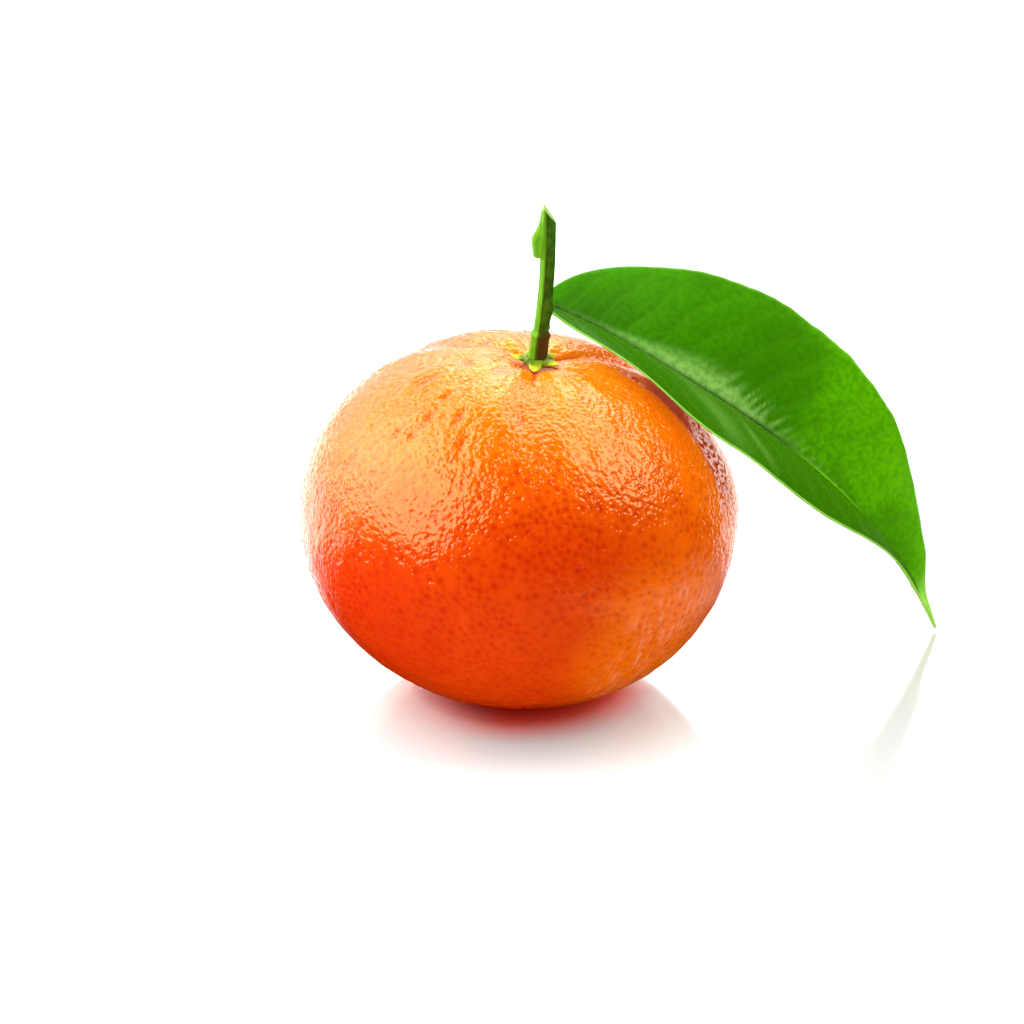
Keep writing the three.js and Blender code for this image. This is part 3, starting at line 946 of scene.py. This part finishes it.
def twig_material(name, settings, has_collar):
    """Green bark, light on one side, streaked along its length; brown under the collar."""
    shader = Shader(name)
    drawn_out = shader.node("ShaderNodeMapping", {
        "Vector": shader.place(), "Scale": (1.0, 1.0, 0.12)})
    streaks = shader.node("ShaderNodeTexNoise", {
        "Vector": drawn_out.outputs[0], "Scale": 3200.0, "Detail": 3.0}).outputs["Fac"]
    patches = shader.group(mottle_group(), scale=700.0, low=0.35, high=0.65)
    sunny = shader.mark("sunny")
    middle = shader.times(shader.span(sunny, 0.3, 0.45), shader.span(streaks, 0.3, 0.7, 0.4, 1))
    coats = [
        (middle, settings.olive),
        (shader.span(sunny, 0.62, 0.8), settings.sunny),
        (shader.span(streaks, 0.45, 0.7, 0, 0.45), settings.shady),
        (shader.times(patches, 0.3), settings.sunny),
    ]
    if has_collar:
        below = shader.span(shader.mark("up"), COLLAR[0], COLLAR[1] + 0.02, 1.0, 0.0)
        dark_side = shader.span(sunny, 0.5, 0.75, 1.0, 0.0)
        coats.append((shader.times(below, dark_side), settings.bark))
        coats.append((shader.mark("cut"), settings.cut))
    shader.bump(shader.plus(streaks, shader.times(patches, 0.4)), 0.08 * MM, 0.7)
    return shader.finish(
        Base_Color=shader.layers(settings.shady, *coats),
        Roughness=shader.span(streaks, 0.3, 0.7, 0.42, 0.6),
        Specular_Tint=(0.7, 1.0, 0.2),
        Subsurface_Weight=0.08,
        Subsurface_Radius=(0.5, 0.8, 0.1),
        Subsurface_Scale=0.5 * MM,
    )


class MANDARIN_OT_stalk(bpy.types.Operator):
    """Models the cut stalk with its collar and bud scar"""

    bl_idname = "mandarin.stalk"
    bl_label = "Stalk"

    def execute(self, context):
        settings = context.scene.mandarin_twig
        material = twig_material("Stalk Bark", settings, has_collar=True)
        add_piece("cut_stalk", "stalk", "stalk", stalk_skin(settings), material)
        return {"FINISHED"}


# ------------------------------------------------------------------ leaf stalk

def leaf_stalk_skin(settings):
    """The leaf stalk, grooved on top and swollen at both of its joints."""
    middle = Curve(LEAF_STALK_CONTROLS, UP)
    around = full_turn(48)
    rows = []
    for share in np.linspace(0, 1, 60):
        point, _, across, off = middle.at(share)
        joints = 0.25 * bell(share, 0.16) + 0.4 * bell(share - 0.88, 0.12)
        groove = 0.16 * bell(turn_between(around, math.pi / 2), 0.5) * ease(0.1, 0.5, share)
        closing = math.sqrt(max(1 - max(share - 0.93, 0) / 0.07, 0.04))
        radius = settings.leaf_stalk_radius * (0.92 + joints - groove) * closing
        rows.append(point + across * (radius * np.cos(around) * 1.08)[:, None]
                    + off * (radius * np.sin(around))[:, None])
    corners, faces = closed_rows(np.array(rows))
    return corners, faces, {"sunny": np.full(len(corners), 0.8)}


class MANDARIN_OT_leaf_stalk(bpy.types.Operator):
    """Models the short stalk that carries the leaf"""

    bl_idname = "mandarin.leaf_stalk"
    bl_label = "Leaf stalk"

    def execute(self, context):
        settings = context.scene.mandarin_twig
        material = twig_material("Leaf Stalk Green", settings, has_collar=False)
        add_piece("petiole", "leaf_stalk", "leaf_stalk", leaf_stalk_skin(settings), material)
        return {"FINISHED"}


# ------------------------------------------------------------------ leaf blade

def blade_half_width(share):
    """From the midrib to the margin, at a share of the blade's length."""
    def outline(at):
        return at ** BLADE_BASE_POWER * (1 - at) ** BLADE_TIP_POWER

    widest = BLADE_BASE_POWER / (BLADE_BASE_POWER + BLADE_TIP_POWER)
    narrowed = 1 - 0.62 * ease(0.87, 0.94, share)
    round_part = (BLADE_HALF_WIDTH - BLADE_END_WIDTH) * outline(share) / outline(widest)
    return BLADE_END_WIDTH + round_part * narrowed


def vein_starts(share, out_share, side, half_width, length):
    """Where along the midrib the side vein through each point leaves it."""
    sweep = 0.48 * half_width / length * out_share * (1 + 0.3 * out_share)
    wobble = 0.006 * np.sin(19 * share + 2.2 * side) + 0.004 * np.sin(41 * share + 5 * out_share)
    return share - sweep + wobble


def vein_net(share, out_share, side, start, length, veins):
    """Strength of the main and fine side veins, and the swell between them."""
    spacing = length / veins

    def comb(per_spacing, shift):
        """Distance to the nearest of a row of veins."""
        phase = start * veins * per_spacing + shift * side
        return np.abs(phase - np.round(phase)) * spacing / per_spacing

    reach = (1 - ease(0.78, 0.97, out_share)) * ease(0.0, 0.06, share)
    reach = reach * (1 - ease(0.86, 0.98, share))
    main = bell(comb(1, 0.25), 0.3 * MM) * reach
    fine = bell(comb(3, 0.1), 0.25 * MM) * reach * (1 - ease(0.3, 0.7, out_share))
    swell = (1 - bell(comb(1, 0.25), 1.4 * MM)) * reach * ease(0.04, 0.25, out_share)
    return main, fine, swell


def blade_shine(share, out_share, side, out, start, veins):
    """Pale shine: a band with uneven fingers behind the midrib and two streaks before it."""
    turn = start * veins * 3 + 0.3 * np.sin(61 * start) + 0.12 * np.sin(173 * start)
    finger = np.round(turn)
    uneven = 1 + 0.9 * (np.modf(np.abs(np.sin(finger * 12.9898) * 43758.5453))[0] - 0.5)
    feather = (0.5 + 0.5 * np.cos(2 * math.pi * (turn - finger))) ** 1.5 * uneven
    width = (0.8 + 4.4 * bell(share - 0.37, 0.17)) * MM
    width = width * blend(1, 0.25 + 0.95 * feather, ease(0.3, 0.5, share))
    band = (1 - ease(0.2 * width, width, out)) * (side > 0) * ease(0.0, 0.04, share)
    band = band * blend(0.6, 1, ease(0.1, 0.3, share)) * (1 - 0.7 * ease(0.42, 0.55, share))
    band = band * (1 - ease(0.6, 0.73, share))
    streaks = 0.22 * bell(start - 0.27, 0.035) * bell(out_share - 0.62, 0.3)
    streaks = streaks + 0.24 * bell(start - 0.36, 0.016) * bell(out_share - 0.62, 0.24)
    return np.maximum(band, streaks * (side < 0))


def blade_skin(settings):
    """Both faces of the folded blade, with masks for its veins, margin, tip and lower face."""
    midrib = Curve(MIDRIB_CONTROLS, UP)
    even = np.linspace(0, 1, BLADE_ROWS)
    share = ease(-0.02, 1.02, even) * 0.35 + even * 0.65
    share = (share - share[0]) / (share[-1] - share[0])
    share = np.clip(share, 0.0015, 0.9985)[:, None]
    spread = np.linspace(1, -1, BLADE_SPOKES)
    spokes = np.sign(spread) * np.abs(spread) ** 1.2
    over = np.concatenate([spokes, spokes[::-1]])[None, :]
    face = np.repeat([1.0, -1.0], BLADE_SPOKES)[None, :]
    side, out_share = np.sign(over), np.abs(over)

    teeth = 0.002 * np.sin(share * 214 + side) + 0.006 * np.sin(share * 47 + 2 * side)
    teeth = teeth * ease(0.05, 0.3, share) + 0.004 * np.sin(share * 109) * ease(0.3, 0.5, share)
    half_width = blade_half_width(share) * (1 + teeth * ease(0.8, 1, out_share))
    out = out_share * half_width
    settling = 1 - (1 - np.minimum(share / SETTLED, 1)) ** 2
    fold = np.radians(blend(*FOLD, settling))
    roll = np.radians(blend(*ROLL, settling))
    turned = math.radians(TIP_TURN) * ease(0.7, 0.95, share) * (side < 0)
    rise = fold + side * roll - turned

    start = vein_starts(share, out_share, side, half_width, midrib.length)
    vein, fine, swell = vein_net(share, out_share, side, start, midrib.length, settings.veins)
    shine = blade_shine(share, out_share, side, out, start, settings.veins)
    rib = bell(out, 0.5 * MM) * (1 - 0.6 * share)
    wave = settings.wave * out_share ** 2 * np.sin(share * 2 * math.pi * 3.3 + 1.1 * side)
    trough = BLADE_TROUGH * ease(0, 0.25, share) * (1 - ease(0.75, 0.95, share)) * (side > 0)
    sunk = trough * (out_share - 1 + np.exp(-out / BLADE_TROUGH_WIDTH))
    bow = 4 * BLADE_BOW * out * (1 - out_share) + sunk + wave * np.minimum(half_width / (6 * MM), 1)
    half_thick = settings.thickness / 2 * (1 - 0.55 * ease(0.93, 1.0, out_share))
    relief = settings.quilting * swell - VEIN_DEPTH * vein - FINE_VEIN_DEPTH * fine
    upper = half_thick + relief - GROOVE_DEPTH * rib * (1 - ease(0.5, 0.75, share))
    lower = -half_thick + relief - KEEL_HEIGHT * rib * (1 - share) - VEIN_RIDGE * vein
    height = bow + np.where(face > 0, upper, lower)

    point, _, across, off = midrib.at(share[:, 0])
    lift = out * np.sin(rise) + height * np.cos(side * rise)
    near_rib = ease(0, 0.8 * MM, out)
    level = side * out * np.cos(rise) - height * np.sin(side * rise) * near_rib
    rows = (point[:, None, :] + across[:, None, :] * level[..., None]
            + off[:, None, :] * lift[..., None])
    corners, faces = closed_rows(rows)

    def mark(values):
        """A mask for every corner, from values that may differ along or over the blade."""
        full = np.broadcast_to(values, rows.shape[:2])
        return with_ends(full, full[0, 0], full[-1, -1])

    groove_width = blend(0.34, 0.2, ease(0.5, 0.7, share)) * MM
    marks = {
        "vein": mark(np.maximum(vein, 0.5 * fine)),
        "midrib": mark(bell(out, np.where(face > 0, groove_width, 0.6 * MM))),
        "shine": mark(shine * (face > 0)),
        "margin": mark(ease(0.0, 1.0, 1 - (half_width - out) / (0.35 * MM))),
        "along": mark(share),
        "lower_face": mark(face < 0),
        "half": mark(0.5 + 0.5 * side),
    }
    return corners, faces, marks


def leaf_material(settings):
    """Glossy green upper face with paler veins, lime towards the tip, dull lower face."""
    # Painted into the colour: shine beside the midrib, shade on the near half and in the groove,
    # lit tip
    shader = Shader("Leaf Green")
    along, lower_face = shader.mark("along"), shader.mark("lower_face")
    midrib, vein = shader.mark("midrib"), shader.mark("vein")
    near_half = shader.minus(1.0, shader.mark("half"))
    broad = shader.group(mottle_group(), scale=95.0, detail=1.0, low=0.35, high=0.68)
    fine = shader.group(mottle_group(), scale=1300.0, detail=3.0, low=0.36, high=0.66)
    lower = shader.mix(shader.most(vein, midrib), settings.under, settings.vein)
    tip_start = shader.span(near_half, 0, 1, 0.88, 0.84)
    skin = shader.layers(
        settings.green,
        (shader.times(broad, 0.7), settings.deep),
        (shader.times(shader.span(along, 0.3, 0.75), shader.span(broad, 0, 1, 1, 0.5)),
         settings.lime),
        # Painted shade on the near half
        (near_half, settings.near),
        (shader.times(fine, shader.span(along, 0.4, 0.75, 0.5, 0.36)), settings.deep),
        (shader.times(shader.mark("shine"), shader.span(fine, 0, 1, 0.95, 0.6)), settings.shine),
        (shader.times(vein, 0.1), settings.vein),
        # Painted shade in the midrib's groove, fading out past the middle
        (shader.times(midrib, shader.span(along, 0.45, 0.65, 1.0, 0.0)), settings.groove),
        (shader.times(midrib, shader.span(along, 0.5, 0.65)), settings.rib),
        (shader.times(shader.mark("margin"), shader.span(near_half, 0, 1, 0.25, 0.8)),
         settings.edge),
        (shader.times(lower_face, shader.span(along, 0.72, 0.8, 1.0, 0.15)), lower),
        # Painted light: the tip is lime on both faces
        (shader.span(along, tip_start, shader.plus(tip_start, 0.07)), settings.edge),
    )
    net = shader.node("ShaderNodeTexVoronoi", {"Vector": shader.place(), "Scale": 1100.0},
                      feature="DISTANCE_TO_EDGE").outputs["Distance"]
    relief = shader.plus(shader.times(shader.span(net, 0.0, 0.25), 0.4), fine)
    shader.bump(relief, 0.03 * MM, 0.6)
    dull = shader.most(shader.times(lower_face, 0.35),
                       shader.times(near_half, shader.span(along, 0.66, 0.78, 0.0, 0.75)))
    return shader.finish(
        Base_Color=skin,
        Roughness=shader.plus(shader.span(fine, 0, 1, 0.26, 0.34), dull),
        Specular_IOR_Level=0.03,
        Specular_Tint=(0.6, 1.0, 0.1),
        Subsurface_Weight=0.2,
        Subsurface_Radius=(0.5, 1.0, 0.05),
        Subsurface_Scale=0.5 * MM,
    )


class MANDARIN_OT_leaf_blade(bpy.types.Operator):
    """Models the folded leaf blade with its veins"""

    bl_idname = "mandarin.leaf_blade"
    bl_label = "Leaf blade"

    def execute(self, context):
        settings = context.scene.mandarin_leaf
        add_piece("blade", "leaf_blade", "leaf", blade_skin(settings), leaf_material(settings))
        return {"FINISHED"}


# ------------------------------------------------------------------ stage

def add_camera(settings):
    """The camera looks down on the middle of the fruit from the front."""
    aim = Vector(CAMERA_AIM) * MM
    back = Vector((0, -math.cos(settings.elevation), math.sin(settings.elevation)))
    data = bpy.data.cameras.new("Camera")
    data.sensor_width = SENSOR_WIDTH
    data.lens = settings.lens
    data.clip_start = 0.01
    data.clip_end = 20
    camera = bpy.data.objects.new("Camera", data)
    camera.location = aim + back * settings.distance
    camera.rotation_euler = (-back).to_track_quat("-Z", "Y").to_euler()
    bpy.context.scene.collection.objects.link(camera)
    bpy.context.scene.camera = camera


def add_softboxes(settings):
    """Flat area lights that face the fruit and are not seen; some of them pass the leaf."""
    blockers = bpy.data.collections.new(BLOCKERS)
    for name, power, direction, distance, width, height, passes_leaf in SOFTBOXES:
        data = bpy.data.lights.new(name, "AREA")
        data.shape = "RECTANGLE"
        data.size = width
        data.size_y = height
        data.energy = getattr(settings, power)
        light = bpy.data.objects.new(name, data)
        towards = Vector(direction).normalized()
        light.location = Vector(FRUIT_CENTRE) + towards * distance
        light.rotation_euler = towards.to_track_quat("Z", "Y").to_euler()
        light.visible_camera = False
        if passes_leaf:
            light.light_linking.blocker_collection = blockers
        bpy.context.scene.collection.objects.link(light)


def floor_material(settings):
    """Pale with a soft gloss, mirroring and red next to the fruit, darker under the leaf's tip."""
    # Painted into the floor: red light where the fruit touches, shade round it and under the leaf's
    # tip
    shader = Shader("Pale Floor")
    point = shader.place()
    place = shader.split(point)
    away = shader.node("ShaderNodeVectorMath", {0: point}, operation="LENGTH").outputs["Value"]
    # Painted shade: darker floor, with less glow, under the leaf's tip
    leafwards = shader.times(shader.span(place["X"], 0.034, 0.05),
                             shader.span(away, 0.075, 0.13, 1.0, 0.0))
    tipwards = shader.times(leafwards, shader.span(place["Y"], -0.022, 0.016))
    # Painted red reflection and glow in front of and right of where the fruit touches
    frontwards = shader.times(shader.span(place["Y"], -0.006, 0.004, 1.0, 0.25),
                              shader.span(place["X"], -0.014, 0.0, 0.25, 1.0))
    contact = shader.times(frontwards, shader.span(away, 0.0125, 0.021, 1.0, 0.0))
    wear = shader.group(mottle_group(), scale=30.0, low=0.2, high=0.8)
    shader.finish(
        Base_Color=shader.layers(
            settings.floor,
            # Painted shade round the fruit
            (shader.span(away, 0.03, 0.05, 1.0, 0.0), settings.floor_near),
            # Painted shade under the leaf's tip
            (leafwards, settings.floor_side),
            (contact, settings.floor_contact),
        ),
        Metallic=shader.most(
            shader.span(away, 0.01, 0.022, 0.97, 0.0),
            shader.span(away, 0.012, 0.038, 0.55, shader.span(tipwards, 0, 1, 0.14, 0.38))),
        Roughness=shader.span(wear, 0, 1, 0.08, 0.1),
        # Painted glow: red next to the fruit, white further out
        Emission_Color=shader.mix(contact, (1.0, 1.0, 1.0), settings.floor_contact),
        Emission_Strength=shader.span(
            away, 0.008, 0.017, 0.0, shader.span(leafwards, 0, 1, 0.22, 0.12)),
    )

    # Mirrored in the peel and the leaf, the floor is dark but for a white area behind the fruit
    # and a strip beside it
    behind = shader.times(shader.span(place["X"], -0.02, 0.03, 2.8, 1.8),
                          shader.span(place["Y"], 0.0, 0.04))
    behind = shader.times(behind, shader.span(place["Y"], 0.25, 0.5, 1.0, 0.0))
    sector = shader.minus(place["Y"], shader.times(place["X"], 0.5))
    behind = shader.times(behind, shader.span(sector, -0.01, 0.012))
    behind = shader.times(behind, shader.span(place["X"], 0.13, 0.22, 1.0, 0.0))
    beside = shader.times(shader.span(place["X"], 0.03, 0.05, 0.0, 0.4),
                          shader.span(place["X"], 0.06, 0.1, 1.0, 0.0))
    mirrored = shader.node("ShaderNodeEmission", {
        "Color": (1, 1, 1), "Strength": shader.most(behind, beside)}).outputs[0]
    glossy_ray = shader.node("ShaderNodeLightPath").outputs["Is Glossy Ray"]
    shader.feed(shader.tree.nodes["Material Output"].inputs["Surface"],
                shader.choose(glossy_ray, shader.surface.outputs[0], mirrored))
    return shader.material


def add_floor(settings):
    """A round plate in the plane that the fruit rests on."""
    mesh = bpy.data.meshes.new("floor")
    around = full_turn(96)
    ring = np.stack([np.cos(around), np.sin(around), 0 * around], -1) * settings.floor_radius
    mesh.from_pydata(ring.tolist(), [], [list(range(len(ring)))])
    mesh.materials.append(floor_material(settings))
    floor = bpy.data.objects.new("floor", mesh)
    bpy.context.scene.collection.objects.link(floor)


def set_world():
    """White to the camera, dim to the object, and mirrored only as a bright area behind it."""
    world = bpy.data.worlds.new("Studio")
    bpy.context.scene.world = world
    world.use_nodes = True
    nodes = Nodes(world.node_tree)
    nodes.tree.nodes.clear()

    def background(strength):
        inputs = {"Color": (1, 1, 1), "Strength": strength}
        return nodes.node("ShaderNodeBackground", inputs).outputs[0]

    direction = nodes.split(nodes.node("ShaderNodeTexCoord").outputs["Generated"])
    behind = nodes.span(direction["Y"], 0.25, 0.6)
    lower = nodes.span(direction["Z"], 0.45, 0.7, 1.4, 0.0)
    central = nodes.span(direction["X"], 0.2, 0.35, 1.0, 0.0)
    leftwards = nodes.span(direction["X"], -0.15, 0.15, 1.3, 1.0)
    backdrop = nodes.times(nodes.times(behind, lower), nodes.times(central, leftwards))
    ray = nodes.node("ShaderNodeLightPath").outputs
    lighting = nodes.choose(ray["Is Glossy Ray"], background(0.5), background(backdrop))
    seen = nodes.choose(ray["Is Camera Ray"], lighting, background(1.0))
    nodes.node("ShaderNodeOutputWorld", {"Surface": seen})


class MANDARIN_OT_stage(bpy.types.Operator):
    """Sets up the camera, the soft studio lights, the white surround and the floor"""

    bl_idname = "mandarin.stage"
    bl_label = "Stage"

    def execute(self, context):
        settings = context.scene.mandarin_stage
        add_camera(settings)
        add_floor(settings)
        add_softboxes(settings)
        set_world()
        context.scene.view_settings.view_transform = "Standard"
        return {"FINISHED"}


# ------------------------------------------------------------------ add-on

STEPS = ("stage", "fruit", "calyx", "stalk", "leaf_stalk", "leaf_blade")

SETTINGS = {
    "mandarin_peel": MandarinPeelSettings,
    "mandarin_twig": MandarinTwigSettings,
    "mandarin_leaf": MandarinLeafSettings,
    "mandarin_stage": MandarinStageSettings,
}


class MANDARIN_PT_parts(bpy.types.Panel):
    """Lists the pieces of the mandarin"""

    bl_idname = "MANDARIN_PT_parts"
    bl_label = "Mandarin"
    bl_space_type = "VIEW_3D"
    bl_region_type = "UI"
    bl_category = "Mandarin"

    def draw(self, context):
        for step in STEPS:
            self.layout.operator(f"mandarin.{step}")
        for name, group in SETTINGS.items():
            box = self.layout.box()
            for key in group.__annotations__:
                box.prop(getattr(context.scene, name), key)


CLASSES = (
    *SETTINGS.values(),
    MANDARIN_OT_stage,
    MANDARIN_OT_fruit,
    MANDARIN_OT_calyx,
    MANDARIN_OT_stalk,
    MANDARIN_OT_leaf_stalk,
    MANDARIN_OT_leaf_blade,
    MANDARIN_PT_parts,
)


def register():
    for one in CLASSES:
        bpy.utils.register_class(one)
    for name, group in SETTINGS.items():
        setattr(bpy.types.Scene, name, bpy.props.PointerProperty(type=group))


def unregister():
    for name in SETTINGS:
        delattr(bpy.types.Scene, name)
    for one in reversed(CLASSES):
        bpy.utils.unregister_class(one)


def write_sizes():
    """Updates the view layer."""
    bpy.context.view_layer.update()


def main():
    """Makes the stage and then each piece of the mandarin."""
    register()
    for step in STEPS:
        getattr(bpy.ops.mandarin, step)()
    write_sizes()


if __name__ == "__main__":
    main()
